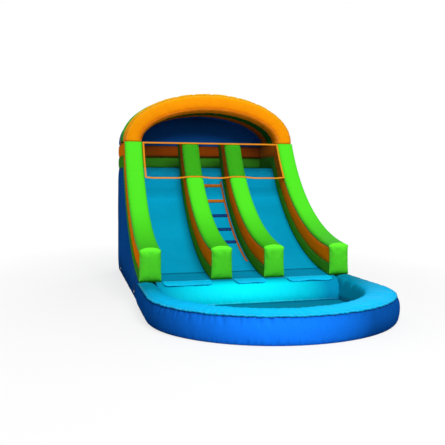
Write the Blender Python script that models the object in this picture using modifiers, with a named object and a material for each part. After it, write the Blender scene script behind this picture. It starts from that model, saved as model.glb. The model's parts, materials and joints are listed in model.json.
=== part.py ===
"""Inflatable water slide: two slide lanes and a climbing lane lead to and from a roofed platform, and end in a
splash pool. Left and right are as seen from the pool. Lengths are in metres, +Z is up, and the riders slide
towards -Y. The origin is at the middle of the footprint, on the ground."""

import math

import bmesh
import bpy
from mathutils import Matrix, Vector

# Overall plan
rail_width = 0.4515
slide_lane_width = 1.046
climb_lane_width = 0.702
rear_y = 5.361
gap = 0.0003
skin = 0.03
wall_thickness = 0.06
base_thickness = 0.02
smooth_angle = math.radians(35)

# The arc that the lanes and rails follow, seen from the side: every layer is an arc about one centre
ledge_height = 0.4643
centre_y = -0.372
lane_radius = 4.85
green_tube_depth = 0.265
orange_tube_depth = 0.345
cap_edge_thickness = 0.03
cap_crown = 0.05
cap_crown_shares = [0, 0.62, 0.9, 1.0, 0.9, 0.62, 0]
lane_thickness = 0.07
facet_angle = math.radians(3.1)
least_facet_share = 0.02

# Platform, walls and roof
deck_height = 2.9
green_band_height = 0.32
orange_band_height = 0.338
deck_thickness = 0.07
crest_depth = 0.12
rear_tube_depth = 0.43
rear_tube_edge = 0.086
roof_rise = 1.308
roof_foot = 0.03
roof_segments = 20
roof_tube_sides = 12
roof_width_power = 0.6
roof_depth_power = 0.35
panel_seam = 0.004

# Landing, with the roll that leads down into the pool
landing_depth = 0.593
roll_reach = 0.45
roll_segments = 8

# Splash pool
pool_overhang = 0.021
pool_straight = 1.464
pool_nose = 2.114
rim_width = 0.321
basin_straight = 0.85
basin_nose = 2.12
rim_below_ledge = 0.0063
rim_crown = 0.006
rim_drop = 0.013
shoulder_drop = 0.06
basin_foot_lean = 0.12
outer_bulge = 0.035
outer_foot_inset = 0.01
outer_wall_shares = [(0.22, 0.6), (0.5, 1.0), (0.8, 0.7), (1.0, 0)]
pool_straight_segments = 3
pool_round_segments = 28

# End pillows of the rails
pillow_edge = 0.035
pillow_crown = 0.05
pillow_rise = 0.045
pillow_columns = 6
pillow_rows = 6

# Climbing ladder
step_count = 5
first_step_angle = math.radians(28.5)
step_pitch = 2 * facet_angle
step_half_depth = 0.045
step_height = 0.05
step_segments = 6
strap_width = 0.05
strap_thickness = 0.006
strap_margin = 0.031
strap_facets_below = 3.5
strap_facets_above = 8.5

# Exit flaps
flap_thickness = 0.006
flap_side_margin = 0.02
flap_segments = 3

# Safety net
net_height = 0.927
net_columns = 20
net_rows = 8
net_strand = 0.014
net_thickness = 0.006
border_width = 0.07
border_thickness = 0.012
border_rows = 6

# Blower sleeve
sleeve_radius = 0.15
sleeve_length = 0.35
sleeve_x = 1.35
sleeve_skin = 0.012
sleeve_sides = 20

# Deflation zip, low on the rear wall
zip_x = -1.2
zip_z = 0.4
zip_length = 0.9
zip_height = 0.05
zip_thickness = 0.006
slider_length = 0.05
slider_height = 0.04
slider_thickness = 0.012
zip_cover_height = 0.16
zip_cover_margin = 0.06
zip_cover_thickness = 0.004
zip_cover_clearance = 0.012

# Ground anchors: a sewn tab holds a steel ring on each side wall, near the front and near the rear
anchor_front_y = 0.95
anchor_rear_margin = 0.811
anchor_height = 0.16
tab_height = 0.12
tab_length = 0.05
tab_thickness = 0.006
loop_segments = 12
ring_wire = 0.004
ring_play = 0.001
ring_half_width = 0.034
ring_drop = 0.055
ring_bow_segments = 9

# Places across the width
inner_rail_inner_x = climb_lane_width / 2
inner_rail_middle_x = inner_rail_inner_x + rail_width / 2
inner_rail_outer_x = inner_rail_inner_x + rail_width
outer_rail_inner_x = inner_rail_outer_x + slide_lane_width
outer_rail_middle_x = outer_rail_inner_x + rail_width / 2
body_half = outer_rail_inner_x + rail_width
wall_inner_x = body_half - wall_thickness
ladder_half_width = inner_rail_inner_x - strap_margin
pool_half_width = body_half + pool_overhang
basin_half_width = pool_half_width - rim_width
landing_half_width = basin_half_width - basin_foot_lean - gap

# Heights and radii
base_top = base_thickness + gap
stripe_height = deck_height + green_band_height
spring_height = stripe_height + orange_band_height
net_bottom_height = spring_height - net_height
rim_height = ledge_height - rim_below_ledge
basin_foot_height = base_top + skin
landing_end_slope = basin_foot_lean / 3 / (rim_height / 2 - basin_foot_height)
stripe_radius = lane_radius - green_tube_depth
cap_radius = stripe_radius - orange_tube_depth - cap_edge_thickness
centre_z = ledge_height + math.sqrt(lane_radius ** 2 - centre_y ** 2)

# Places along the length, counted from the rails' lower ends
pool_front_y = -(pool_straight + pool_nose + outer_bulge)
overall_rear_y = rear_y + gap + sleeve_length
middle_y = (pool_front_y + overall_rear_y) / 2
roof_front_y = centre_y + math.sqrt(cap_radius ** 2 - (centre_z - spring_height) ** 2)
roof_tube_depth = (rear_y - roof_front_y) / 4
pillow_back_y = pillow_edge + gap
crest_y = centre_y + math.sqrt(lane_radius ** 2 - (centre_z - deck_height) ** 2) + crest_depth
anchor_rear_y = rear_y - anchor_rear_margin
strap_low_angle = first_step_angle - strap_facets_below * facet_angle
strap_high_angle = first_step_angle + strap_facets_above * facet_angle

GREEN = (0.075, 0.72, 0.03)
ORANGE = (0.93, 0.24, 0.012)
CYAN = (0.004, 0.52, 0.78)
ROYAL = (0.01, 0.16, 0.72)
NAVY = (0.006, 0.045, 0.2)
BLACK = (0.02, 0.02, 0.022)
RED = (0.72, 0.06, 0.02)
STEEL = (0.6, 0.6, 0.6)


# Scene and materials
def clear_scene():
    for item in list(bpy.data.objects):
        bpy.data.objects.remove(item, do_unlink=True)


def make_collection(name):
    collection = bpy.data.collections.new(name)
    bpy.context.scene.collection.children.link(collection)
    return collection


def make_material(name, colour, roughness=0.35, metallic=0.0):
    material = bpy.data.materials.new(name)
    material.use_nodes = True
    shader = material.node_tree.nodes["Principled BSDF"]
    shader.inputs["Base Color"].default_value = (*colour, 1.0)
    shader.inputs["Roughness"].default_value = roughness
    shader.inputs["Metallic"].default_value = metallic
    return material


clear_scene()
parts = make_collection("inflatable_water_slide")
cutters = make_collection("cutters")
frame = bpy.data.objects.new("slide_frame", None)
frame.location = (0, -middle_y, 0)
parts.objects.link(frame)


def add_object(name, data, colour, roughness=0.35, metallic=0.0, parent=frame):
    item = bpy.data.objects.new(name, data)
    item.data.materials.append(make_material(name, colour, roughness, metallic))
    item.parent = parent
    parts.objects.link(item)
    return item


def mesh_object(name, bm, colour, closed=True, **finish):
    if closed:
        bmesh.ops.recalc_face_normals(bm, faces=bm.faces)
    mesh = bpy.data.meshes.new(name)
    bm.to_mesh(mesh)
    bm.free()
    mesh.shade_smooth()
    mesh.set_sharp_from_angle(angle=smooth_angle)
    return add_object(name, mesh, colour, **finish)


# Points on the common arc, with the angle counted from straight below its centre
def arc_point(radius, angle):
    return (centre_y + radius * math.sin(angle), centre_z - radius * math.cos(angle))


def angle_at_y(radius, y):
    return math.asin((y - centre_y) / radius)


def angle_at_z(radius, z):
    return math.acos((centre_z - z) / radius)


def arc_points(radius, low, high):
    """The arc from low to high, with corners shared by every layer so that their facets stay parallel."""
    first_corner = first_step_angle - facet_angle / 2
    start = math.ceil((low - first_corner) / facet_angle + least_facet_share)
    stop = math.floor((high - first_corner) / facet_angle - least_facet_share)
    corners = [first_corner + k * facet_angle for k in range(start, stop + 1)]
    return [arc_point(radius, angle) for angle in [low, *corners, high]]


# Solids made from an outline in the side view, drawn out across the width
def side_solid(name, outline, x_low, x_high, colour, **finish):
    bm = bmesh.new()
    face = bm.faces.new([bm.verts.new((x_low, y, z)) for y, z in outline])
    drawn = bmesh.ops.extrude_face_region(bm, geom=[face])
    moved = [v for v in drawn["geom"] if isinstance(v, bmesh.types.BMVert)]
    bmesh.ops.translate(bm, verts=moved, vec=(x_high - x_low, 0, 0))
    return mesh_object(name, bm, colour, **finish)


def box(name, x_span, y_span, z_span, colour, edge=0.0, **finish):
    bm = bmesh.new()
    bmesh.ops.create_cube(bm, size=1.0)
    low = Vector((x_span[0], y_span[0], z_span[0]))
    high = Vector((x_span[1], y_span[1], z_span[1]))
    size = high - low
    middle = (low + high) / 2
    bmesh.ops.scale(bm, vec=size, verts=bm.verts)
    bmesh.ops.translate(bm, vec=middle, verts=bm.verts)
    item = mesh_object(name, bm, colour, **finish)
    if edge:
        bevel = item.modifiers.new("rounded edges", "BEVEL")
        bevel.width = edge
        bevel.segments = 2
    return item


def hollow_out(item, cutter):
    """Cuts an air space out of a chamber, with a cutter that is kept out of the model."""
    parts.objects.unlink(cutter)
    cutters.objects.link(cutter)
    cutter.hide_render = True
    cutter.display_type = "WIRE"
    cut = item.modifiers.new("air space", "BOOLEAN")
    cut.operation = "DIFFERENCE"
    cut.solver = "EXACT"
    cut.object = cutter


# Rails: a crowned cap over two striped air tubes
def trim(bm, point, outward):
    """Cuts off what lies beyond a plane and closes the cut."""
    everything = bm.verts[:] + bm.edges[:] + bm.faces[:]
    cut = bmesh.ops.bisect_plane(bm, geom=everything, plane_co=point, plane_no=outward, clear_outer=True)
    rim = [e for e in cut["geom_cut"] if isinstance(e, bmesh.types.BMEdge)]
    bmesh.ops.edgeloop_fill(bm, edges=rim)


def rail_cap(name, middle_x):
    columns = len(cap_crown_shares) - 1
    top = angle_at_z(cap_radius - cap_crown, spring_height) + facet_angle
    steps = math.ceil(top / facet_angle) + 1
    first_corner = first_step_angle - facet_angle / 2
    low = first_corner - math.ceil(first_corner / facet_angle) * facet_angle
    under = cap_radius + cap_edge_thickness - gap / 2

    def place(x, radius):
        y, z = arc_point(radius, low)
        return (x, y, z)

    bm = bmesh.new()
    left_x = middle_x - rail_width / 2
    upper = [
        place(left_x + rail_width * k / columns, cap_radius - cap_crown * share)
        for k, share in enumerate(cap_crown_shares)
    ]
    lower = [place(left_x + rail_width, under), place(left_x, under)]
    face = bm.faces.new([bm.verts.new(p) for p in upper + lower])
    bmesh.ops.spin(
        bm,
        geom=[face],
        cent=(0, centre_y, centre_z),
        axis=(1, 0, 0),
        angle=steps * facet_angle,
        steps=steps,
    )
    trim(bm, (0, 0, spring_height), (0, 0, 1))
    trim(bm, (0, pillow_back_y, 0), (0, -1, 0))
    mesh_object(name, bm, GREEN)


def tube_outline(near, far, front, wall, inset):
    """Side outline of a rail tube between two radii, drawn in by an inset. With a wall span it turns level at
    the top and runs back to the rear."""
    near += inset
    far -= inset
    front_low, rear_low = angle_at_y(near, front), angle_at_y(far, front)
    if not wall:
        top = spring_height - inset
        upper = arc_points(near, front_low, angle_at_z(near, top))
        lower = arc_points(far, rear_low, angle_at_z(far, top))
        return upper + lower[::-1]
    wall_low, wall_high = wall[0] + gap / 2 + inset, wall[1] - gap / 2 - inset
    upper = arc_points(near, front_low, angle_at_z(near, wall_high))
    lower = arc_points(far, rear_low, angle_at_z(far, wall_low))
    return upper + [(rear_y - inset, wall_high), (rear_y - inset, wall_low)] + lower[::-1]


def rail_tube(name, middle_x, inner_radius, outer_radius, colour, wall):
    """A striped air tube of a rail, open at its lower front end, where the end pillow closes it."""
    near, far = inner_radius + gap / 2, outer_radius - gap / 2
    half = rail_width / 2
    outline = tube_outline(near, far, pillow_back_y, wall, 0)
    item = side_solid(name, outline, middle_x - half, middle_x + half, colour)
    inside = tube_outline(near, far, pillow_back_y - skin, wall, skin)
    half -= skin
    hollow_out(item, side_solid(name + "_air_space", inside, middle_x - half, middle_x + half, colour))


def end_pillow(name, middle_x):
    """The crowned panel that closes a rail's lower end."""
    foot = arc_point(lane_radius - 2 * gap, angle_at_y(lane_radius, pillow_edge))[1]
    head = arc_point(cap_radius, angle_at_y(cap_radius, 0))[1] + pillow_rise
    half_height = (head - foot) / 2
    bm = bmesh.new()
    bmesh.ops.create_grid(bm, x_segments=pillow_columns, y_segments=pillow_rows, size=1.0)
    back = bmesh.ops.extrude_face_region(bm, geom=bm.faces[:])
    behind = {v for v in back["geom"] if isinstance(v, bmesh.types.BMVert)}
    for v in bm.verts:
        across, up = v.co.x, v.co.y
        swell = (1 - across ** 4) * (1 - up ** 4)
        rise = pillow_rise * (across ** 2) * max(up, 0)
        y = pillow_edge if v in behind else -pillow_crown * swell
        v.co = (middle_x + across * rail_width / 2, y, foot + half_height * (1 + up) - rise)
    mesh_object(name, bm, GREEN)


# The four rails: the tubes of the outer two turn level at the top and run on as the platform's side walls
outer_walls = {"orange": (stripe_height, spring_height), "green": (deck_height, stripe_height)}
for rail, middle_x, walls in (
    ("left_outer", -outer_rail_middle_x, outer_walls),
    ("left_inner", -inner_rail_middle_x, {}),
    ("right_inner", inner_rail_middle_x, {}),
    ("right_outer", outer_rail_middle_x, outer_walls),
):
    rail_cap(rail + "_rail_cap", middle_x)
    upper_start = cap_radius + cap_edge_thickness
    rail_tube(rail + "_orange_tube", middle_x, upper_start, stripe_radius, ORANGE, walls.get("orange"))
    rail_tube(rail + "_green_tube", middle_x, stripe_radius, lane_radius, GREEN, walls.get("green"))
    end_pillow(rail + "_end_pillow", middle_x)


# Lanes: sloping panels that meet under the inner rails and end in a rounded crest at the deck
def lane_panel(name, x_low, x_high):
    top_radius = lane_radius + gap / 2
    under_radius = lane_radius + lane_thickness
    start = landing_depth + gap
    deck_top = deck_height - gap / 2
    deck_under = deck_height - deck_thickness
    upper = arc_points(top_radius, angle_at_y(top_radius, start), angle_at_z(top_radius, deck_top))
    lower = arc_points(under_radius, angle_at_y(under_radius, start), angle_at_z(under_radius, deck_under))
    outline = upper + [(crest_y, deck_top), (crest_y, deck_under)] + lower[::-1]
    side_solid(name, outline, x_low, x_high, CYAN, roughness=0.3)


lane_edge_x = inner_rail_middle_x
lane_panel("left_slide_lane", -(wall_inner_x - gap), -(lane_edge_x + gap / 2))
lane_panel("climb_lane", -(lane_edge_x - gap / 2), lane_edge_x - gap / 2)
lane_panel("right_slide_lane", lane_edge_x + gap / 2, wall_inner_x - gap)


# Landing: a level ledge at the lanes' foot, rolled over at the front. Its ends lean out with the basin's sides
def roll_point(angle, lift=0.0):
    return (-(roll_reach + lift) * math.sin(angle), (ledge_height + lift) * math.cos(angle))


roll_step = math.acos(base_top / ledge_height) / roll_segments
roll_outline = [roll_point(k * roll_step) for k in range(roll_segments, 0, -1)]
ledge_radius = lane_radius + gap / 2
ledge_top = arc_points(ledge_radius, angle_at_y(ledge_radius, 0), angle_at_y(ledge_radius, landing_depth))
landing = side_solid(
    "landing_beam",
    roll_outline + ledge_top + [(landing_depth, base_top)],
    -landing_half_width,
    landing_half_width,
    CYAN,
    roughness=0.3,
)
for corner in landing.data.vertices:
    corner.co.x *= 1 + landing_end_slope * (corner.co.z - basin_foot_height) / landing_half_width


# Exit flaps: sewn along the ledge's front edge, they lie over the roll and can be lifted
def exit_flap(name, x_low, x_high):
    under = [roll_point(k * roll_step, 2 * gap) for k in range(flap_segments + 1)]
    over = [roll_point(k * roll_step, flap_thickness) for k in range(flap_segments + 1)]
    item = side_solid(name, over[::-1] + under, x_low + flap_side_margin, x_high - flap_side_margin, CYAN)
    hinge = Vector((0, 0, roll_point(0, flap_thickness / 2)[1]))
    item.data.transform(Matrix.Translation(-hinge))
    item.location = hinge


exit_flap("left_exit_flap", -outer_rail_inner_x, -inner_rail_outer_x)
exit_flap("centre_exit_flap", -inner_rail_inner_x, inner_rail_inner_x)
exit_flap("right_exit_flap", inner_rail_outer_x, outer_rail_inner_x)


# Climbing ladder: padded steps between two webbing straps
def on_lane(angle, along, lift):
    """A point near the lane at an angle, moved along the slope and off the surface."""
    y, z = arc_point(lane_radius * math.cos(facet_angle / 2), angle)
    return (y + along * math.cos(angle) - lift * math.sin(angle), z + along * math.sin(angle) + lift * math.cos(angle))


def climb_step(name, angle):
    outline = [on_lane(angle, -step_half_depth, gap), on_lane(angle, step_half_depth, gap)]
    for k in range(1, step_segments):
        turn = math.pi * k / step_segments
        outline.append(on_lane(angle, step_half_depth * math.cos(turn), step_height * math.sin(turn)))
    half = ladder_half_width - strap_width - gap
    side_solid(name, outline, -half, half, ORANGE if name.endswith(("4", "5")) else NAVY)


def climb_strap(name, x_low, x_high):
    near = lane_radius - gap / 2
    far = near - strap_thickness
    upper = arc_points(near, strap_low_angle, strap_high_angle)
    lower = arc_points(far, strap_low_angle, strap_high_angle)
    side_solid(name, upper + lower[::-1], x_low, x_high, RED, roughness=0.7)


for step in range(step_count):
    climb_step(f"climb_step_{step + 1}", first_step_angle + step * step_pitch)
climb_strap("left_climb_strap", -ladder_half_width, strap_width - ladder_half_width)
climb_strap("right_climb_strap", ladder_half_width - strap_width, ladder_half_width)


# Walls, rear tubes, deck and the two inner walls that stand on the base sheet and hold the lanes up
def side_wall(name, x_low, x_high):
    top = arc_points(
        lane_radius + gap / 2,
        angle_at_y(lane_radius, 0),
        angle_at_z(lane_radius + gap / 2, deck_height - gap / 2),
    )
    outline = top + [(rear_y, deck_height - gap / 2), (rear_y, 0), (0, 0)]
    side_solid(name, outline, x_low, x_high, NAVY)


def inner_wall(name, middle_x):
    radius = lane_radius + lane_thickness + gap
    start = landing_depth + gap
    head = deck_height - deck_thickness - gap
    top = arc_points(radius, angle_at_y(radius, start), angle_at_z(radius, head))
    back = rear_y - wall_thickness - gap
    outline = top + [(back, head), (back, base_top), (start, base_top)]
    half = wall_thickness / 2
    side_solid(name, outline, middle_x - half, middle_x + half, NAVY)


side_wall("left_side_wall", -body_half, -wall_inner_x)
side_wall("right_side_wall", wall_inner_x, body_half)
inner_wall("left_inner_wall", -inner_rail_middle_x)
inner_wall("right_inner_wall", inner_rail_middle_x)

wall_x = (-(wall_inner_x - gap), wall_inner_x - gap)
box("rear_wall", wall_x, (rear_y - wall_thickness, rear_y), (0, deck_height - gap / 2), NAVY)
deck_y = (crest_y + gap, rear_y - wall_thickness - gap)
box("platform_deck", wall_x, deck_y, (deck_height - deck_thickness, deck_height - gap / 2), CYAN)

tube_x = (-(outer_rail_inner_x - gap), outer_rail_inner_x - gap)
tube_y = (rear_y - rear_tube_depth, rear_y)
green_z = (deck_height + gap / 2, stripe_height - gap / 2)
orange_z = (stripe_height + gap / 2, spring_height)
box("rear_green_tube", tube_x, tube_y, green_z, GREEN, rear_tube_edge)
box("rear_orange_tube", tube_x, tube_y, orange_z, ORANGE, rear_tube_edge)


# Roof: four arched tubes side by side, with a panel closing the rearmost
def arch_line():
    """Middle line of a roof tube: half an ellipse on two short upright feet."""
    half_width = body_half - rail_width / 2
    rise = roof_rise - rail_width / 2 - roof_foot
    turns = [math.pi * k / roof_segments for k in range(roof_segments + 1)]
    bow = [(half_width * math.cos(turn), roof_foot + rise * math.sin(turn)) for turn in turns]
    return [(half_width, 0), *bow, (-half_width, 0)]


def polyline(name, points, cyclic):
    curve = bpy.data.curves.new(name, "CURVE")
    curve.dimensions = "2D"
    add_spline(curve, points, cyclic)
    return curve


def add_spline(curve, points, cyclic):
    spline = curve.splines.new("POLY")
    spline.points.add(len(points) - 1)
    for knot, (x, y) in zip(spline.points, points):
        knot.co = (x, y, 0, 1)
    spline.use_cyclic_u = cyclic


def tube_section():
    """Closed section of a roof tube: a rounded square, flattened where it presses on its neighbours."""
    half_width = rail_width / 2
    half_depth = roof_tube_depth / 2 - gap / 2
    points = []
    for k in range(roof_tube_sides):
        turn = -2 * math.pi * k / roof_tube_sides
        c, s = math.cos(turn), math.sin(turn)
        across = math.copysign(abs(c) ** roof_width_power, c)
        along = math.copysign(abs(s) ** roof_depth_power, s)
        points.append((half_width * across, half_depth * along))
    return points


def roof_tube(name, place, colour):
    section = bpy.data.objects.new(name + "_section", polyline(name + "_section", tube_section(), True))
    section.hide_render = True
    section.display_type = "WIRE"
    cutters.objects.link(section)
    path = polyline(name, arch_line(), False)
    path.bevel_mode = "OBJECT"
    path.bevel_object = section
    path.use_fill_caps = False
    item = add_object(name, path, colour)
    item.rotation_euler = (math.pi / 2, 0, 0)
    item.location = (0, roof_front_y + roof_tube_depth * (place + 0.5), spring_height + gap)
    shell = item.modifiers.new("tube skin", "SOLIDIFY")
    shell.thickness = 2 * skin
    shell.offset = -1


roof_tube("front_arch", 0, ORANGE)
roof_tube("green_roof_rib", 1, GREEN)
roof_tube("orange_roof_rib", 2, ORANGE)
roof_tube("rear_roof_rib", 3, NAVY)


def drawn_in(points, distance):
    """The same arch, moved inwards by a distance square to its edge."""
    moved = []
    for k, (x, z) in enumerate(points):
        before, after = points[max(k - 1, 0)], points[min(k + 1, len(points) - 1)]
        along = Vector((after[0] - before[0], after[1] - before[1])).normalized()
        moved.append((x - along.y * distance, z + along.x * distance))
    return moved


panel_outline = drawn_in(arch_line(), rail_width / 2 + panel_seam)
panel = polyline("roof_rear_panel", panel_outline, True)
panel.fill_mode = "BOTH"
panel.extrude = wall_thickness / 2
panel_item = add_object("roof_rear_panel", panel, NAVY)
panel_item.rotation_euler = (math.pi / 2, 0, 0)
panel_item.location = (0, rear_y - roof_tube_depth / 2, spring_height + gap)


# Splash pool: a blue outer wall, and a cyan rim that turns down into the basin's side
def pool_stations():
    """Pairs of plan points, on the pool's outer edge and on the basin's, from the right rear to the left."""
    pairs = []
    for k in range(pool_straight_segments):
        share = k / pool_straight_segments
        pairs.append(((pool_half_width, -pool_straight * share), (basin_half_width, -basin_straight * share)))
    for k in range(pool_round_segments + 1):
        turn = math.pi * k / pool_round_segments
        c, s = math.cos(turn), math.sin(turn)
        outer = (pool_half_width * c, -pool_straight - pool_nose * s)
        inner = (basin_half_width * c, -basin_straight - basin_nose * s)
        pairs.append((outer, inner))
    for k in range(pool_straight_segments - 1, -1, -1):
        share = k / pool_straight_segments
        pairs.append(((-pool_half_width, -pool_straight * share), (-basin_half_width, -basin_straight * share)))
    stations = [(Vector((*a, 0)), Vector((*b, 0))) for a, b in pairs]
    for point in stations[0] + stations[-1]:
        point.y = -gap
    return stations


def edge_normals(points):
    """Outward plan normals along the U-shaped edge; both ends face straight out to the side."""
    normals = []
    for before, after in zip([points[0], *points[:-1]], [*points[1:], points[-1]]):
        along = (after - before).normalized()
        normals.append(Vector((-along.y, along.x, 0)))
    return normals


def loft_shell(name, rows, colour, thickness):
    """An open skin through rows of points, given its thickness on the inner side."""
    bm = bmesh.new()
    grid = [[bm.verts.new(point) for point in row] for row in rows]
    for row, following in zip(grid, grid[1:]):
        for a, b, c, d in zip(row, row[1:], following[1:], following):
            bm.faces.new((a, b, c, d))
    item = mesh_object(name, bm, colour, closed=False, roughness=0.3)
    shell = item.modifiers.new("skin", "SOLIDIFY")
    shell.thickness = thickness
    shell.offset = -1
    shell.use_even_offset = True
    return item


def pool_shells():
    stations = pool_stations()
    outer_line = [a for a, b in stations]
    inner_line = [b for a, b in stations]
    out = edge_normals(outer_line)
    basin_out = edge_normals(inner_line)
    wall_rows = []
    cover_rows = []
    for a, b, n, m in zip(outer_line, inner_line, out, basin_out):
        row = [a - n * outer_foot_inset]
        row += [a + n * outer_bulge * bulge + Vector((0, 0, rim_height * up)) for up, bulge in outer_wall_shares]
        wall_rows.append(row)
        edge = a - n * (skin + gap)
        crest = (edge + b) / 2
        foot = b - m * basin_foot_lean
        shoulder = b - m * basin_foot_lean / 6
        hip = b - m * basin_foot_lean * 2 / 3
        cover_rows.append(
            [
                edge + Vector((0, 0, rim_height)),
                crest + Vector((0, 0, rim_height + rim_crown)),
                b + (edge - b) / 8 + Vector((0, 0, rim_height - rim_drop)),
                shoulder + Vector((0, 0, rim_height - shoulder_drop)),
                hip + Vector((0, 0, rim_height / 2)),
                foot + Vector((0, 0, basin_foot_height)),
                foot + Vector((0, 0, base_top)),
            ]
        )
    loft_shell("pool_outer_wall", wall_rows, ROYAL, skin)
    loft_shell("pool_rim", cover_rows, CYAN, skin)


pool_shells()


# Base sheet: the basin's floor, which runs on under the landing and the body as far as the walls
def base_sheet():
    outer_line = [a for a, b in pool_stations()]
    inset = skin + outer_foot_inset + outer_bulge
    edge = [a - n * inset for a, n in zip(outer_line, edge_normals(outer_line))]
    side_x = wall_inner_x - gap
    back_y = rear_y - wall_thickness - gap
    body = [(-side_x, -gap), (-side_x, back_y), (side_x, back_y), (side_x, -gap)]
    sheet = polyline("base_sheet", [(p.x, p.y) for p in edge] + body, True)
    sheet.fill_mode = "BOTH"
    sheet.extrude = base_thickness / 2
    item = add_object("base_sheet", sheet, CYAN, roughness=0.3)
    item.location = (0, 0, base_thickness / 2)


base_sheet()


# Safety net: it lies on the caps of the inner rails, inside a webbing border
def on_net(x, share, radius):
    """A point of the net at a share of its height, on an arc just in front of the rail caps."""
    low = angle_at_z(radius, net_bottom_height)
    high = angle_at_z(radius, spring_height)
    y, z = arc_point(radius, low + (high - low) * share)
    return (x, y, z)


def sheet_on_net(name, xs, shares, radius, is_open, inset, thickness, colour):
    """A sheet of cells on the net's arc. An open cell is cut out; with an inset it keeps its strands."""
    bm = bmesh.new()
    rows = [[bm.verts.new((x, share, 0)) for x in xs] for share in shares]
    for j, (row, following) in enumerate(zip(rows, rows[1:])):
        for k, (a, b, c, d) in enumerate(zip(row, row[1:], following[1:], following)):
            if inset or not is_open(k, j):
                bm.faces.new((a, b, c, d))
    bend = radius * (angle_at_z(radius, spring_height) - angle_at_z(radius, net_bottom_height))
    for v in bm.verts:
        v.co.y *= bend
    if inset:
        bm.normal_update()
        cells = bm.faces[:]
        bmesh.ops.inset_individual(bm, faces=cells, thickness=inset, use_even_offset=True)
        bmesh.ops.delete(bm, geom=cells, context="FACES")
    bmesh.ops.delete(bm, geom=[v for v in bm.verts if not v.link_faces], context="VERTS")
    for v in bm.verts:
        v.co = on_net(v.co.x, v.co.y / bend, radius)
    item = mesh_object(name, bm, colour, roughness=0.8)
    shell = item.modifiers.new("cloth", "SOLIDIFY")
    shell.thickness = thickness
    shell.offset = 0
    return item


def safety_net():
    crown_radius = (cap_radius - cap_crown) * math.cos(facet_angle / 2)
    border_radius = crown_radius - border_thickness / 2 - gap
    net_half = outer_rail_inner_x - gap
    inner_half = net_half - border_width
    height = border_radius * (
        angle_at_z(border_radius, spring_height) - angle_at_z(border_radius, net_bottom_height)
    )
    band = border_width / height
    inner_shares = [band + (1 - 2 * band) * k / border_rows for k in range(border_rows + 1)]
    sheet_on_net(
        "net_border",
        [-net_half, -inner_half, inner_half, net_half],
        [0, *inner_shares, 1],
        border_radius,
        lambda column, row: column == 1 and 0 < row <= border_rows,
        0,
        border_thickness,
        ORANGE,
    )
    seat = gap / height
    mesh_half = inner_half - gap
    sheet_on_net(
        "safety_net",
        [mesh_half * (2 * k / net_columns - 1) for k in range(net_columns + 1)],
        [band + seat + (1 - 2 * (band + seat)) * k / net_rows for k in range(net_rows + 1)],
        border_radius,
        lambda column, row: True,
        net_strand / 2,
        net_thickness,
        BLACK,
    )


safety_net()


# Blower sleeve on the rear wall
def blower_sleeve():
    bm = bmesh.new()
    bmesh.ops.create_cone(
        bm,
        segments=sleeve_sides,
        radius1=sleeve_radius,
        radius2=sleeve_radius,
        depth=sleeve_length,
        cap_ends=False,
    )
    item = mesh_object("blower_sleeve", bm, NAVY, closed=False, roughness=0.5)
    item.rotation_euler = (math.pi / 2, 0, 0)
    item.location = (sleeve_x, rear_y + gap + sleeve_length / 2, sleeve_radius + sleeve_skin)
    shell = item.modifiers.new("sleeve cloth", "SOLIDIFY")
    shell.thickness = sleeve_skin
    shell.offset = -1


blower_sleeve()


# Deflation zip with its slider, under a cover flap that folds up along its upper outer edge
def deflation_zip():
    half = zip_length / 2
    track_front = rear_y + gap
    track_back = track_front + zip_thickness
    box(
        "zip_track",
        (zip_x - half, zip_x + half),
        (track_front, track_back),
        (zip_z - zip_height / 2, zip_z + zip_height / 2),
        BLACK,
    )
    slider = box(
        "zip_slider",
        (-slider_length / 2, slider_length / 2),
        (0, slider_thickness),
        (-slider_height / 2, slider_height / 2),
        STEEL,
        slider_thickness / 4,
        metallic=1.0,
    )
    slider.location = (zip_x - half + slider_length / 2, track_back + gap, zip_z)
    cover_half = half + zip_cover_margin
    hem = zip_cover_margin / 4
    rise = gap + zip_thickness + slider_thickness + zip_cover_clearance
    outside = [(0, 0), (0, -hem), (rise, -2 * hem), (rise, -zip_cover_height)]
    inside = [(y - zip_cover_thickness, z) for y, z in outside]
    cover = side_solid("zip_cover", inside + outside[::-1], -cover_half, cover_half, NAVY)
    hinge_y = rear_y + gap + zip_cover_thickness
    cover.location = (zip_x, hinge_y, zip_z + zip_height / 2 + zip_cover_margin)


deflation_zip()


# Ground anchors
def anchor_tab(name, side, y):
    """A sewn patch flat on the wall, whose lower edge loops round the ring's bar."""
    bore = ring_wire + ring_play
    loop = bore + tab_thickness
    meeting = math.acos((tab_thickness - loop) / loop)
    turns = [math.pi + (math.pi + meeting) * k / loop_segments for k in range(loop_segments + 1)]
    outline = [(0, tab_height)]
    outline += [(loop + loop * math.cos(turn), loop * math.sin(turn)) for turn in turns]
    outline.append((tab_thickness, tab_height))
    hole = [2 * math.pi * k / loop_segments for k in range(loop_segments)]
    patch = polyline(name, [(side * u, v) for u, v in outline], True)
    add_spline(patch, [(side * (loop + bore * math.cos(turn)), bore * math.sin(turn)) for turn in hole], True)
    patch.fill_mode = "BOTH"
    patch.extrude = tab_length / 2
    item = add_object(name, patch, NAVY, roughness=0.6)
    item.rotation_euler = (math.pi / 2, 0, 0)
    item.location = (side * (body_half + gap), y, anchor_height)


def anchor_ring(name, side, y):
    """A steel D-ring: a straight bar through the tab, with a bow that hangs below it."""
    turns = [math.pi * k / ring_bow_segments for k in range(ring_bow_segments + 1)]
    bow = [(ring_half_width * math.cos(turn), -ring_drop * math.sin(turn)) for turn in turns]
    wire = polyline(name, bow, True)
    wire.bevel_depth = ring_wire
    wire.bevel_resolution = 1
    item = add_object(name, wire, STEEL, roughness=0.25, metallic=1.0)
    item.rotation_euler = (math.pi / 2, 0, math.pi / 2)
    item.location = (side * (body_half + gap + ring_wire + ring_play + tab_thickness), y, anchor_height)


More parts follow.
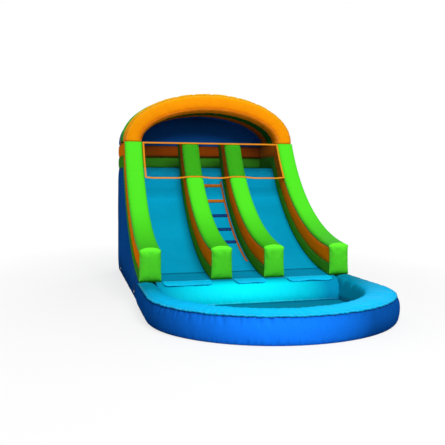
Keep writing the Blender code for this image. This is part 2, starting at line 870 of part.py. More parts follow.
for side_name, side in (("left", -1), ("right", 1)):
    for end_name, anchor_y in (("front", anchor_front_y), ("rear", anchor_rear_y)):
        anchor_tab(f"{side_name}_{end_name}_anchor_tab", side, anchor_y)
        anchor_ring(f"{side_name}_{end_name}_anchor_ring", side, anchor_y)
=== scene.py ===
"""Looks of the inflatable water slide: every air chamber, sheet, strap and ring, in the order of assembly.
Lengths are in metres. Left and right are as seen from the pool."""

import json
from math import acos, asin, copysign, cos, exp, hypot, pi, radians, sin, sqrt, tanh

import bmesh
import bpy
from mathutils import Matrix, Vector, noise

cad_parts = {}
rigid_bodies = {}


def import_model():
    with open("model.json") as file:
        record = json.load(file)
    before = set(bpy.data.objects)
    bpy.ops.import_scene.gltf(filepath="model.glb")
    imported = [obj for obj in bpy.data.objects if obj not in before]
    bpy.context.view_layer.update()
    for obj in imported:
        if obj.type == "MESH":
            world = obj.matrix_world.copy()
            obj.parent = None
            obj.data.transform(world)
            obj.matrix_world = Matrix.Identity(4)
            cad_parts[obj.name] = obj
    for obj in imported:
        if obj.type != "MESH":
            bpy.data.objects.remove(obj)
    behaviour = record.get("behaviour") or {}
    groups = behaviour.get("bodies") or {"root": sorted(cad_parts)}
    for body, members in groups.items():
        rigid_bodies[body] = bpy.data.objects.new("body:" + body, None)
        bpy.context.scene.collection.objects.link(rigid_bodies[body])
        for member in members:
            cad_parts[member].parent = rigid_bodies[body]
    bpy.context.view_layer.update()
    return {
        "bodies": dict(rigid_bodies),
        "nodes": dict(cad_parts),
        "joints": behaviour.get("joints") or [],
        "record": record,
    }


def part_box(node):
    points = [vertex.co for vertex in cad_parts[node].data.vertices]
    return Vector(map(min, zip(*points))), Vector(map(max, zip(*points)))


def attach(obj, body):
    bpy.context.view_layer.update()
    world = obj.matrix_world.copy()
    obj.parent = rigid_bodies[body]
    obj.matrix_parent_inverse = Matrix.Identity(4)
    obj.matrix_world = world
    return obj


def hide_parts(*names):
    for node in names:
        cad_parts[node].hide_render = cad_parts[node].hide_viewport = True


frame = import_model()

# The camera stands in front of the pool, to its left, and a little above head height.
# It looks level, and the frame is shifted down so that upright edges stay upright.
camera_place = (-3.618, -13.157, 2.49)
camera_turn = 0.2472
focal_pixels = 596.6
frame_pixels = 445
horizon_pixel = 182.8


def add(name, data):
    """Puts an object with that data into the scene."""
    item = bpy.data.objects.new(name, data)
    bpy.context.scene.collection.objects.link(item)
    return item


camera_data = bpy.data.cameras.new("camera")
camera_data.lens = focal_pixels / frame_pixels * camera_data.sensor_width
camera_data.shift_y = (horizon_pixel - frame_pixels / 2) / frame_pixels
camera = add("camera", camera_data)
camera.location = camera_place
camera.rotation_euler = (pi / 2, 0, -camera_turn)
bpy.context.scene.camera = camera

# The slide lanes are sheets of light blue vinyl, coated woven polyester, held to an arc by the walls under them.
# Their edges are welded under the rails, and they end in a rounded crest at the platform.
front_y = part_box("left_side_wall")[0].y
rear_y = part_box("rear_wall")[1].y
half_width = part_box("right_side_wall")[1].x
deck_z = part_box("platform_deck")[1].z
ledge_z = 0.4643
lane_radius = 4.85
arc_reach = 0.372
arc_y = front_y - arc_reach
arc_z = ledge_z + sqrt(lane_radius ** 2 - arc_reach ** 2)
lane_steps = 110
lane_columns = 28
lane_dish = 0.008
lane_crest = 0.1
lane_thickness = 0.06
gather_reach = 1 / 6
tape_width = 1 / 45
stitch_inset = 0.03
stitch_pitch = 1 / 95
stitch_share = 0.62
thread_half = 1 / 700
thread_colour = (0.75, 0.78, 0.76)


class Socket:
    """A shader socket that takes part in plain arithmetic, where each operation adds its Math node."""

    def __init__(self, tree, source=None):
        self.tree = tree
        self.source = source

    def node(self, kind, sockets=None, output=0, **settings):
        """Adds a node with its settings, and the values or links of its sockets."""
        made = self.tree.nodes.new("ShaderNode" + kind)
        for name, value in settings.items():
            setattr(made, name, value)
        for name, value in (sockets or {}).items():
            if isinstance(value, Socket):
                self.tree.links.new(value.source, made.inputs[name])
            else:
                made.inputs[name].default_value = value
        return Socket(self.tree, made.outputs[output])

    def math(self, operation, *others):
        return self.node("Math", dict(enumerate((self, *others))), operation=operation)

    def mix(self, first, second):
        """A colour between two, with this value as the share of the second."""
        return self.node("Mix", {0: self, 6: first, 7: second}, 2, data_type="RGBA")

    def clouds(self, scale, detail, distortion=0.0):
        """A cloudy pattern over this place."""
        return self.node("TexNoise", {"Vector": self, "Scale": scale, "Detail": detail, "Distortion": distortion})

    def bands(self, direction, scale):
        return self.node("TexWave", {"Vector": self, "Scale": scale}, bands_direction=direction)

    def parts(self):
        """The three parts of this vector."""
        split = self.node("SeparateXYZ", {0: self}).source.node
        return [Socket(self.tree, part) for part in split.outputs]

    def at_least(self, least):
        return self.math("MAXIMUM", least)

    def at_most(self, most):
        return self.math("MINIMUM", most)

    def __add__(self, other):
        return self.math("ADD", other)

    def __sub__(self, other):
        return self.math("SUBTRACT", other)

    def __rsub__(self, other):
        return self.node("Math", {0: other, 1: self}, operation="SUBTRACT")

    def __mul__(self, other):
        return self.math("MULTIPLY", other)

    def __truediv__(self, other):
        return self.math("DIVIDE", other)

    def __pow__(self, other):
        return self.math("POWER", other)

    __radd__ = __add__
    __rmul__ = __mul__


def rgba(colour, share=1.0):
    return (*[c * share for c in colour], 1.0)


def new_material(name):
    """A material, and the place on the object that its nodes start from."""
    material = bpy.data.materials.new(name)
    material.use_nodes = True
    return material, Socket(material.node_tree).node("TexCoord", output="Object")


def dress(material, colouring, height, depth, strength, roughness, gloss=0.5, metal=0.0):
    """Links a finish's colour, relief and roughness to its shader."""
    shader = material.node_tree.nodes["Principled BSDF"]
    bump = colouring.node("Bump", {"Height": height, "Distance": depth, "Strength": strength})
    for socket, value in (("Base Color", colouring), ("Normal", bump), ("Roughness", roughness)):
        material.node_tree.links.new(value.source, shader.inputs[socket])
    shader.inputs["Specular IOR Level"].default_value = gloss
    shader.inputs["Metallic"].default_value = metal
    return material


def vinyl(name, colour, shade, gloss, pucker=0.006, sunlit=None, painted_shade_height=0.0):
    """Coated fabric. Its cloth attribute holds metres along it, metres from its nearest weld, and how far it
    faces the light. Near a weld it is gathered, with stitches beside it. There, along its weld tape and in the
    dips of its puckers, it takes the given share of its colour: painted shade below one, a painted highlight
    above one.
    Sunlit is painted light: a brighter colour, the two shares of that facing between which it takes over, and
    then, where it fades to both sides of a place, the axis, the place and the distance. The last argument is the
    height below which painted shade darkens it towards the ground."""
    material, place = new_material(name)
    cloud = place.clouds(0.9, 3.0)
    fold = place.clouds(2.8, 3.0, 0.8)
    grain = place.clouds(90.0, 4.0)
    weave = place.bands("X", 75.0) + place.bands("Z", 75.0)
    wear = (cloud * 0.6 + fold * 0.25 + grain * 0.15 - 0.36) / 0.28
    colouring = wear.mix(rgba(colour, 0.86), rgba(colour))
    height = (fold - 0.5).math("ABSOLUTE") * 0.014 + weave * 0.0003 + grain * 0.0006
    # Painted shade: darker towards the ground, up to the given height, with a mottled upper edge.
    if painted_shade_height:
        painted_low_shade = (1 - place.parts()[2] / painted_shade_height + (fold - 0.5) * 0.8).at_least(0.0).at_most(1.0)
        colouring = (painted_low_shade * 0.75).mix(colouring, rgba(colour, 0.42))
    along, seam, facing = place.node("Attribute", output="Vector", attribute_name="cloth").parts()
    crimp = place.node("CombineXYZ", {0: along * 13.0, 1: seam * 3.0}).clouds(1.0, 3.0)
    near = (1 - seam / gather_reach).at_least(0.0) ** 1.5
    tape = (1 - seam / tape_width).at_least(0.0) ** 0.4
    dash = (along / stitch_pitch).math("FRACT").math("LESS_THAN", stitch_share)
    thread = (1 - (seam - stitch_inset).math("ABSOLUTE") / thread_half).at_least(0.0) * dash
    # Painted light: where it faces the light it takes the brighter colour, and a fade makes that painted light
    # brightest at a place and weaker to both sides of it.
    if sunlit:
        bright, low, high, *fade = sunlit
        share = ((facing - low) / (high - low)).at_least(0.0).at_most(1.0)
        if fade:
            axis, middle, reach = fade
            away = (place.parts()[axis] - middle) / reach
            share = share * (1 - away * away).at_least(0.0)
        colouring = share.mix(colouring, rgba(bright))
    # Painted shade in the gathers near a weld, in the dips of their puckers and along the weld tape; a share
    # above one paints a highlight there instead.
    dip = (crimp * 2.0 - 0.7).at_least(0.0) * near
    colouring = (near * 0.22 + dip * 0.35 + tape * 0.3).mix(colouring, rgba(colour, shade))
    colouring = (thread * 0.7).mix(colouring, rgba(thread_colour))
    height = height + near * crimp * (pucker * 2.4) + thread * 0.0012 + tape * 0.0015
    return dress(material, colouring, height, 1.0, 0.7, 0.38 + cloud * 0.12 + grain * 0.1, gloss)


def turn_outward(mesh, joined=False):
    """Turns the faces outward. Where asked, points that meet are joined first."""
    bm = bmesh.new()
    bm.from_mesh(mesh)
    if joined:
        bmesh.ops.remove_doubles(bm, verts=bm.verts, dist=0.0001)
        bmesh.ops.dissolve_degenerate(bm, dist=0.00001, edges=bm.edges)
    bmesh.ops.recalc_face_normals(bm, faces=bm.faces)
    bm.to_mesh(mesh)
    bm.free()


def loft(name, rows, welds=(), ring=True, ends=True, joined=False, light=(0, 0, 1), ties=0.0):
    """A skin over rows of points, with its cloth attribute. Each row closes to a ring, and the first and last are
    filled, unless told otherwise. Welds are columns of it, and ties are welds across it at that pitch."""
    width = len(rows[0])
    faces = []
    for j in range(len(rows) - 1):
        for k in range(width if ring else width - 1):
            a, b = j * width + k, j * width + (k + 1) % width
            faces.append((a, b, b + width, a + width))
    if ends:
        faces.append(tuple(range(width)))
        faces.append(tuple(range((len(rows) - 1) * width, len(rows) * width)))
    mesh = bpy.data.meshes.new(name)
    mesh.from_pydata([tuple(p) for row in rows for p in row], [], faces)
    turn_outward(mesh)
    along = 0.0
    values = []
    for j, row in enumerate(rows):
        if j:
            along += (Vector(row[width // 2]) - Vector(rows[j - 1][width // 2])).length
        across = [0.0]
        for a, b in zip(row, row[1:]):
            across.append(across[-1] + (Vector(b) - Vector(a)).length)
        for k in range(width):
            seam = min((abs(across[k] - across[weld]) for weld in welds), default=1.0)
            if ties:
                seam = min(seam, abs(along - round(along / ties) * ties))
            values += [along, seam, 0.0]
    mesh.attributes.new("cloth", "FLOAT_VECTOR", "POINT").data.foreach_set("vector", values)
    if joined:
        turn_outward(mesh, joined=True)
    mesh.shade_smooth()
    # The third value is how far each point faces the given light, which its finish turns into painted light and
    # shade.
    for point, normal in zip(mesh.attributes["cloth"].data, mesh.vertex_normals):
        point.vector = (point.vector[0], point.vector[1], normal.vector.dot(Vector(light)))
    return add(name, mesh)


def fit(item, material, node, body="slide_body"):
    """Gives a piece its finish, and puts it in the place of its solid."""
    item.data.materials.append(material)
    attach(item, body)
    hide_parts(node)
    return item


def spread(first, last, steps):
    """Evenly spaced values from the first to the last."""
    return [first + (last - first) * k / steps for k in range(steps + 1)]


def within(value):
    return min(1, max(0, value))


def arc_point(x, radius, angle):
    return Vector((x, arc_y + radius * sin(angle), arc_z - radius * cos(angle)))


def angle_at_y(radius, y):
    return asin((y - arc_y) / radius)


def angle_at_z(radius, z):
    return acos((arc_z - z) / radius)


def arc_height(y, radius=lane_radius):
    return arc_point(0, radius, angle_at_y(radius, y)).z


def ripple(size, *place):
    """A smooth uneven offset of about that size."""
    return size * noise.noise(Vector(place))


lane_blue = (0.001, 0.37, 0.62)
# Painted light: the lanes take the brighter blue where they face forward, up their steep upper part.
lane_sun = ((0.001, 0.44, 0.79), 0.7, 0.88)
lane_vinyl = vinyl("lane_vinyl", lane_blue, 0.8, gloss=0.02, pucker=0.003, sunlit=lane_sun)


def lane(name, node, dish):
    low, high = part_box(node)
    start, stop = angle_at_y(lane_radius, low.y), angle_at_z(lane_radius, deck_z)
    crest_y = arc_point(0, lane_radius, stop).y
    line = [arc_point(0, lane_radius, angle) for angle in spread(start, stop, lane_steps)]
    line = [p for p in line if p.y < crest_y - lane_crest]
    bend = line[-1]
    for t in spread(0, 1, 8)[1:]:
        y = bend.y + 2 * t * (1 - t) * (crest_y - bend.y) + t * t * (high.y - bend.y)
        z = bend.z + 2 * t * (1 - t) * (deck_z - bend.z) + t * t * (deck_z - bend.z)
        line.append(Vector((0, y, z)))
    rows = []
    for p in line:
        row = []
        for x, u in zip(spread(low.x, high.x, lane_columns), spread(-1, 1, lane_columns)):
            sink = dish * (1 - u ** 4) + ripple(dish / 3, x * 1.5, p.y, p.z)
            row.append((x, p.y, p.z - sink))
        rows.append(row + [(high.x, p.y, p.z - lane_thickness), (low.x, p.y, p.z - lane_thickness)])
    fit(loft(name, rows, (0, lane_columns), light=(0, -1, 0)), lane_vinyl, node)


lane("left_slide_sheet", "left_slide_lane", lane_dish)
lane("climb_sheet", "climb_lane", lane_dish / 4)
lane("right_slide_sheet", "right_slide_lane", lane_dish)

# The walls below the lanes are navy vinyl. Hidden ties across the body draw them in at regular distances, so they
# swell slightly in upright panels. They are flat round the anchors and the zip. Two more walls stand inside.
navy = (0.006, 0.095, 0.4)
# Painted shade: the walls are darker towards the ground.
wall_vinyl = vinyl("wall_vinyl", navy, 0.6, gloss=0.0, painted_shade_height=0.5)
wall_panel = 0.56
wall_swell = 0.028
wall_rows = 40
wall_depth = 0.05
wall_inset = 0.004
flat_fade = 0.3
anchor_z = 0.2
anchor_flat = 0.14
zip_flat = 0.6
inner_wall_half = 0.024
lane_underside = lane_radius + 0.0706
anchor_places = [sum(c.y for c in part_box(f"left_{end}_anchor_tab")) / 2 for end in ("front", "rear")]


def swell(distance, up, height):
    """How far a wall stands out, between its ties along the length and its welds above and below."""
    tie = abs(sin(pi * distance / wall_panel)) ** 0.6
    return wall_swell * tie * (1 - abs(2 * up / height - 1) ** 8)


def wall_top(y, radius, reach, level):
    """A wall's upper edge: it follows the arc for that reach, and is level behind it."""
    return min(level, arc_height(y, radius)) if y < arc_y + reach else level


def side_wall(side, sign):
    low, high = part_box(f"{side}_side_wall")
    inner_x = sign * (half_width - wall_depth)
    rows = []
    for y in spread(low.y, high.y, 240):
        top = wall_top(y, lane_radius, 4.2, deck_z)
        row = [(inner_x, y, top), (inner_x, y, 0)]
        for z in spread(0, top, wall_rows):
            out = swell(y - low.y, z, top) + ripple(0.004, y * 2, z * 2, sign)
            near = min(hypot(y - place, z - anchor_z) for place in anchor_places)
            out *= within((near - anchor_flat) / flat_fade)
            row.append((sign * (half_width - wall_inset + out), y, z))
        rows.append(row)
    item = loft(f"{side}_wall_panel", rows, (2, wall_rows + 2), ties=wall_panel)
    fit(item, wall_vinyl, f"{side}_side_wall")


def inner_wall(side):
    low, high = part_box(f"{side}_inner_wall")
    middle_x = (low.x + high.x) / 2
    rows = []
    for y in spread(low.y, high.y, 80):
        top = wall_top(y, lane_underside, 4.4, high.z)
        row = []
        for face, shares in ((1, spread(0, 1, 12)), (-1, spread(1, 0, 12))):
            for share in shares:
                out = inner_wall_half + 0.005 * sin(pi * share)
                row.append((middle_x + face * out, y, low.z + (top - low.z) * share))
        rows.append(row)
    fit(loft(f"{side}_inner_panel", rows, (0, 12, 13, 25)), wall_vinyl, f"{side}_inner_wall")


def rear_wall():
    low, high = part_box("rear_wall")
    rows = []
    for x in spread(low.x, high.x, 220):
        row = [(x, low.y, high.z), (x, low.y, 0)]
        for z in spread(0, high.z, wall_rows):
            out = swell(x - low.x, z, high.z) + ripple(0.004, x * 2, z * 2, 7)
            row.append((x, rear_y + out * within((z - zip_flat) / flat_fade), z))
        rows.append(row)
    item = loft("rear_wall_panel", rows, (2, wall_rows + 2), ties=wall_panel)
    fit(item, wall_vinyl, "rear_wall")


side_wall("left", -1)
side_wall("right", 1)
inner_wall("left")
inner_wall("right")
rear_wall()

# The base sheet is the basin's floor and runs on under the body. It lies on the ground, and only the basin's part
# shows, with shallow puffs where water and feet have pressed it.
floor_blue = (0.001, 0.2, 0.32)
pool_vinyl = vinyl("pool_vinyl", floor_blue, 0.62, gloss=0.02, pucker=0.008)
pool_half_width = half_width + 0.021
pool_straight = 1.464
pool_nose = 2.114
body_inset = 0.0603


def base_sheet():
    low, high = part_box("base_sheet")
    nose_y = front_y - pool_straight
    lengths = [low.y + (nose_y - low.y) * (1 - cos(turn)) for turn in spread(0, pi / 2, 24)]
    lengths += spread(nose_y, high.y, 70)[1:]
    rows = []
    for y in lengths:
        half = high.x
        if y < nose_y:
            half *= sqrt(max(0.0004, 1 - ((nose_y - y) / (nose_y - low.y)) ** 2))
        elif y >= front_y:
            half = min(half, half_width - body_inset)
        top = [(x, y, high.z + ripple(0.004, x * 1.7, y * 1.7, 3) - 0.002) for x in spread(-half, half, 40)]
        rows.append(top + [(half, y, 0.0), (-half, y, 0.0)])
    fit(loft("basin_floor_sheet", rows, joined=True), pool_vinyl, "base_sheet")


base_sheet()

# The landing is one beam of light blue vinyl. A level ledge at the lanes' foot rolls over and down into the
# basin, and the roll is drawn in at its ends. Upright puckers run down it from the ledge.
roll_reach = 0.45
roll_end_round = 0.03
roll_end_lean = 0.1135
# Painted light: the roll is bright light blue where it faces forward, most at its middle, and a deeper blue
# towards its ends and on the ledge.
roll_sun = ((0.001, 0.86, 0.97), 0.15, 0.6, 0, -0.15, 1.8)
roll_vinyl = vinyl("roll_vinyl", (0.001, 0.27, 0.47), 0.8, gloss=0.01, pucker=0.004, sunlit=roll_sun)
air_settings = {
    "vertex_group_mass": "seams",
    "use_pressure": True,
    "uniform_pressure_force": 3.0,
    "mass": 0.15,
    "quality": 4,
    "bending_stiffness": 0.1,
    "tension_damping": 15,
    "compression_damping": 15,
}
air_frames = 20


def inflate(skins, slack, cap):
    """Blows skins up as cloth cut larger than its seams by that share, which gathers where they hold it. Each
    comes with its number of columns and those that are held. No point moves further than about the cap."""
    for item, width, held in skins:
        count = len(item.data.vertices)
        pins = [k for k in range(count) if k % width in held or k < width or k >= count - width]
        item.vertex_groups.new(name="seams").add(pins, 1.0, "REPLACE")
        cloth = item.modifiers.new("air", "CLOTH")
        for name, value in air_settings.items():
            setattr(cloth.settings, name, value)
        cloth.settings.shrink_min = -slack
        cloth.settings.effector_weights.gravity = 0
        cloth.collision_settings.use_collision = False
        cloth.point_cache.frame_end = air_frames
    for frame in range(1, air_frames + 1):
        bpy.context.scene.frame_set(frame)
    graph = bpy.context.evaluated_depsgraph_get()
    items = [item for item, width, held in skins]
    blown = [[v.co.copy() for v in item.evaluated_get(graph).data.vertices] for item in items]
    for item, places in zip(items, blown):
        for vertex, place in zip(item.data.vertices, places):
            step = place - vertex.co
            if step.length:
                vertex.co += step * (cap * tanh(step.length / cap) / step.length)
                vertex.co.z = max(vertex.co.z, 0.0)
        item.modifiers.clear()
        item.vertex_groups.clear()
        item.data.update()
    bpy.context.scene.frame_set(1)


def landing():
    low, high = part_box("landing_beam")
    rows = []
    for u in spread(-1, 1, 240):
        x = high.x * sin(u * pi / 2)
        edge = max(0.0, 1 - (high.x - abs(x)) / roll_end_round)
        drawn = roll_end_round * 0.7 * (1 - sqrt(max(0.0, 1 - edge * edge)))
        row = [(x, high.y, low.z), (x, high.y, arc_height(high.y))]
        for k, y in enumerate(spread(high.y, front_y, 6)[1:], 1):
            row.append((x, y, arc_height(y) - drawn * k / 6))
        for angle in spread(0, acos(low.z / ledge_z), 24)[1:]:
            pleat = ripple(0.007, x * 9, angle * 0.8, 1) * sin(angle) + ripple(0.004, x * 24, angle, 2) * edge
            reach = roll_reach - drawn + pleat
            row.append((x, front_y - reach * sin(angle), (ledge_z - drawn) * cos(angle)))
        rows.append([(px * (1 - roll_end_lean * (high.z - pz)), py, pz) for px, py, pz in row])
    item = loft("landing_roll", rows, (7, 31), light=(0, -1, 0))
    inflate([(item, 32, (*range(16), 30, 31))], 0.06, 0.02)
    fit(item, roll_vinyl, "landing_beam")


landing()

# Each rail is two vinyl air tubes under a padded cap: orange, dark green below it, and bright green on top. Their
# sides stand out a little between the welds. The outer rails' tubes turn level and run back as the platform's
# sides. A puffed panel closes each rail's lower end.
rail_width = 0.4515
stripe_radius = 4.585
cap_radius = 4.21
cap_crown = 0.052
cap_side = 0.032
cap_back = 0.026
cap_end_share = 0.3
side_swell = 0.02
weld_depth = 0.006
band_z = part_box("rear_orange_tube")[0].z
spring_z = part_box("rear_orange_tube")[1].z
rail_steps = 150
taper_steps = 12
rear_round = 0.05
inner_rail_x = sum(c.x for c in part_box("right_inner_rail_cap")) / 2
outer_rail_x = sum(c.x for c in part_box("right_outer_rail_cap")) / 2
bright_green = (0.08, 0.75, 0.018)
dark_green = (0.055, 0.33, 0.015)
orange = (0.98, 0.22, 0.001)
# Painted light: the caps and pillows take the bright green where they face forward and up, and a deeper green
# elsewhere.
pillow_sun = ((0.13, 0.96, 0.03), 0.62, 0.88)
cap_vinyl = vinyl("cap_vinyl", (0.045, 0.46, 0.01), 0.62, gloss=0.02, sunlit=(bright_green, 0.1, 0.55))
pillow_vinyl = vinyl("pillow_vinyl", (0.08, 0.64, 0.022), 0.7, gloss=0.02, sunlit=pillow_sun)
green_vinyl = vinyl("green_vinyl", dark_green, 0.6, gloss=0.0)
orange_vinyl = vinyl("orange_vinyl", orange, 0.6, gloss=0.0)


def squared(value, power):
    """A sine or cosine drawn towards its extremes, which squares the section that it makes."""
    return copysign(abs(value) ** power, value)


def cap_section():
    section = []
    for turn in spread(pi, 0, 28):
        crown = (cap_crown + cap_side) * max(0.0, sin(turn)) ** 0.75
        section.append((rail_width / 2 * squared(cos(turn), 0.55), cap_radius + cap_side - crown))
    return section


def band_section(near, far):
    side = []
    for v in spread(0, 1, 12):
        out = side_swell * (1 - abs(2 * v - 1) ** 2.6) - weld_depth
        side.append((rail_width / 2 + out, near + (far - near) * v))
    return side + [(-x, r) for x, r in reversed(side)]


def rail_rows(middle_x, section, start_y, rear=None, end_share=1.0):
    """Rows of a chamber that follows the arc, and that then runs level to the rear at its own heights. Its crown
    rounds down to that share at the lower end."""
    near, far = section[0][1], section[12][1]
    rows = []
    for j in (0, 0.08, 0.2, 0.4, 0.65, *range(1, rail_steps + 1)):
        row = []
        full = min(1, j / taper_steps)
        crown = end_share + (1 - end_share) * sqrt(1 - (1 - min(1, j)) ** 2)
        for x, radius in section:
            radius = near - (near - radius) * crown
            held = copysign(rail_width / 2 - weld_depth, x)
            x = held + (x - held) * full if abs(x) > abs(held) else x
            stop = spring_z
            if rear:
                stop = rear[0] + (rear[1] - rear[0]) * (radius - near) / (far - near)
            first, last = angle_at_y(radius, start_y), angle_at_z(radius, stop)
            row.append(arc_point(middle_x + x, radius, first + (last - first) * j / rail_steps))
        rows.append(row)
    if not rear:
        return rows
    corner = rows[-1]
    middle_z = (rear[0] + rear[1]) / 2
    for share in spread(0, 1, 40)[1:]:
        rows.append([Vector((p.x, p.y + (rear_y - rear_round - p.y) * share, p.z)) for p in corner])
    flat = rows[-1]
    wide = max(abs(p.x - middle_x) for p in flat)
    tall = max(abs(p.z - middle_z) for p in flat)
    for turn in spread(0, pi / 2, 6)[1:]:
        drawn = rear_round * (1 - cos(turn))
        row = []
        for p in flat:
            x = middle_x + (p.x - middle_x) * (1 - drawn / wide)
            z = middle_z + (p.z - middle_z) * (1 - drawn / tall)
            row.append(Vector((x, rear_y - rear_round + rear_round * sin(turn), z)))
        rows.append(row)
    return rows


pillow_front = 0.05
pillow_back = 0.014
pillow_overlap = 0.014
pillow_crown = 0.075
pillow_columns = 36
pillow_foot = arc_height(front_y) + 0.004
pillow_head = arc_height(front_y, cap_radius) + 0.072


def end_pillow(rail, middle_x):
    """The puffed panel on a rail's lower end. Its corners stand out and its sides pull in between them."""
    half = rail_width / 2 + pillow_overlap
    height = pillow_head - pillow_foot
    seam_y = front_y + pillow_back
    rows = []
    for face in (1, -1):
        for v in spread(face, -face, pillow_columns):
            row = []
            for u in spread(-1, 1, pillow_columns):
                puff = ((1 - abs(u) ** 3.6) * (1 - abs(v) ** 4)) ** 0.55
                x = middle_x + half * u * (1 - 0.012 * (1 - v * v))
                z = pillow_foot + height * (1 + v) / 2 - pillow_crown * abs(u) ** 2.4 * max(v, 0) ** 2
                y = seam_y - (pillow_back + pillow_front) * puff if face > 0 else seam_y + pillow_back * puff
                row.append((x, y + ripple(0.004, u * 3, v * 3, middle_x), z))
            rows.append(row)
    welds = (0, pillow_columns)
    item = loft(f"{rail}_pillow", rows, welds, ring=False, ends=False, joined=True, light=(0, -0.6, 0.8))
    return fit(item, pillow_vinyl, f"{rail}_end_pillow")


seam_radius = cap_radius + cap_side
pillows = []
for rail, middle_x in (
    ("left_outer", -outer_rail_x),
    ("left_inner", -inner_rail_x),
    ("right_inner", inner_rail_x),
    ("right_outer", outer_rail_x),
):
    rows = rail_rows(middle_x, cap_section(), front_y + cap_back, end_share=cap_end_share)
    fit(loft(f"{rail}_cap", rows, (0, 28), light=(0, -1, 0)), cap_vinyl, f"{rail}_rail_cap")
    for colour, near, far, material, rear in (
        ("orange", seam_radius, stripe_radius, orange_vinyl, (spring_z, band_z)),
        ("green", stripe_radius, lane_radius, green_vinyl, (band_z, deck_z)),
    ):
        section = band_section(near, far)
        rows = rail_rows(middle_x, section, front_y + pillow_back, rear if "outer" in rail else None)
        tube = loft(f"{rail}_{colour}_band", rows, (0, 12, 13, 25), joined=True)
        fit(tube, material, f"{rail}_{colour}_tube")
    pillows.append(end_pillow(rail, middle_x))
inflate([(pillow, 1, ()) for pillow in pillows], 0.0, 0.016)

# Platform: the deck is a flat panel of the lanes' vinyl with shallow grooves across it. Behind it an orange tube
# lies on a green one, and both close the gap between the side tubes.
# Painted shade: these tubes are a shaded orange that turns full orange only where they face the light.
shaded_orange = (0.5, 0.09, 0.001)
shaded_orange_vinyl = vinyl("shaded_orange_vinyl", shaded_orange, 0.62, gloss=0.0, sunlit=(orange, -0.3, 0.3))
tube_power = 0.62
deck_groove = 0.004
deck_pitch = 0.22


def cross_tube(name, node, material):
    low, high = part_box(node)
    half, middle = (high - low) / 2, (low + high) / 2
    rows = []
    for x in spread(low.x, high.x, 60):
        row = []
        for turn in spread(0, 2 * pi, 32)[:-1]:
            y = middle.y + half.y * squared(cos(turn), tube_power) + ripple(0.006, x * 4, turn, middle.z)
            row.append((x, y, middle.z + half.z * squared(sin(turn), tube_power)))
        rows.append(row)
    fit(loft(name, rows, (8, 24), light=(0, 1, 0)), material, node)


def deck():
    low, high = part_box("platform_deck")
    rows = []
    for y in spread(low.y, high.y, 30):
        z = high.z - deck_groove * abs(cos(pi * (y - low.y) / deck_pitch)) ** 8
        rows.append([(x, y, z) for x in spread(low.x, high.x, 60)] + [(high.x, y, low.z), (low.x, y, low.z)])
    fit(loft("deck_panel", rows, (0, 60), light=(0, -1, 0)), lane_vinyl, "platform_deck")


cross_tube("rear_green_cross_tube", "rear_green_tube", green_vinyl)
cross_tube("rear_orange_cross_tube", "rear_orange_tube", shaded_orange_vinyl)
deck()

# Roof: four tubes arch over the platform side by side, orange, green, orange and navy. Each is a rounded square
# in section, stands on the outer rails, and presses on its neighbour. A navy panel closes the rearmost.
roof_rise = 1.308
roof_foot = 0.03
roof_steps = 120
roof_swell = 0.018
roof_pinch = 0.93
panel_puff = 0.03
panel_middle = 0.02
panel_overlap = 0.02
# Painted light and shade: the front arch is yellower on top and deeper orange beneath, the green rib is dark
# except where it faces up, and the rear panel is navy at its foot and painted darker towards its top.
arch_sun = ((0.97, 0.58, 0.001), -0.2, 0.8)
rib_sun = ((0.05, 0.52, 0.03), -0.3, 0.3)
panel_sun = ((0.009, 0.12, 0.5), -3.0, -2.0, 2, 3.45, 1.0)
arch_vinyl = vinyl("arch_vinyl", (0.93, 0.22, 0.002), 0.62, gloss=0.01, sunlit=arch_sun)
panel_vinyl = vinyl("roof_panel_vinyl", (0.001, 0.015, 0.06), 0.6, gloss=0.0, sunlit=panel_sun)
rib_vinyl = vinyl("rib_vinyl", (0.008, 0.1, 0.01), 0.62, gloss=0.0, sunlit=rib_sun)


def arch_path(inward=0.0, steps=roof_steps):
    """Points and outward normals of the arch, moved inward by a distance."""
    half = half_width - rail_width / 2 - inward
    rise = roof_rise - rail_width / 2 - roof_foot - inward
    path = [((half, 0), (1, 0))]
    for turn in spread(0, pi, steps):
        normal = Vector((cos(turn) / half, sin(turn) / rise)).normalized()
        path.append(((half * cos(turn), roof_foot + rise * sin(turn)), normal))
    return path + [((-half, 0), (-1, 0))]


def roof_tube(name, node, material, fullness=0.0):
    low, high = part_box(node)
    half_depth = (high.y - low.y) / 2
    middle_y = (high.y + low.y) / 2
    path = arch_path()
    rows = []
    for j, ((x, z), normal) in enumerate(path):
        row = []
        apex = max(0.0, z / roof_rise)
        pinch = roof_pinch if j in (0, len(path) - 1) else 1.0
        for k, turn in enumerate(spread(0, -2 * pi, 40)[:-1]):
            c, s = cos(turn), sin(turn)
            out = (rail_width / 2 + roof_swell * apex + fullness * max(0.0, c)) * squared(c, 0.55) * pinch
            out += ripple(0.005, x * 2.5, z * 2.5, k * 0.2)
            deep = half_depth * squared(s, 0.5) * pinch
            row.append((x + normal[0] * out, middle_y + deep, spring_z + z + normal[1] * out))
        rows.append(row)
    return fit(loft(name, rows, (5, 15, 25, 35)), material, node)


def roof_panel():
    low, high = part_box("roof_rear_panel")
    edge = [step[0] for step in arch_path(rail_width / 2 - panel_overlap, 60)]
    rows = []
    for side, depth, shares in ((-1, low.y, spread(0, 1, 16)), (1, high.y, spread(1, 0, 16))):
        for share in shares:
            narrow = panel_middle + (1 - panel_middle) * share
            y = depth + side * panel_puff * (1 - share ** 2)
            rows.append([(x * narrow, y, spring_z + z * share) for x, z in edge])
    item = loft("roof_back_panel", [*rows, rows[0]], ends=False, joined=True)
    fit(item, panel_vinyl, "roof_rear_panel")


roof_tubes = [
    roof_tube("front_arch_tube", "front_arch", arch_vinyl),
    roof_tube("green_arch_tube", "green_roof_rib", rib_vinyl, 0.03),
    roof_tube("orange_arch_tube", "orange_roof_rib", shaded_orange_vinyl),
    roof_tube("rear_arch_tube", "rear_roof_rib", wall_vinyl),
]
inflate([(item, 40, (5, 15, 25, 35)) for item in roof_tubes], 0.04, 0.012)
roof_panel()

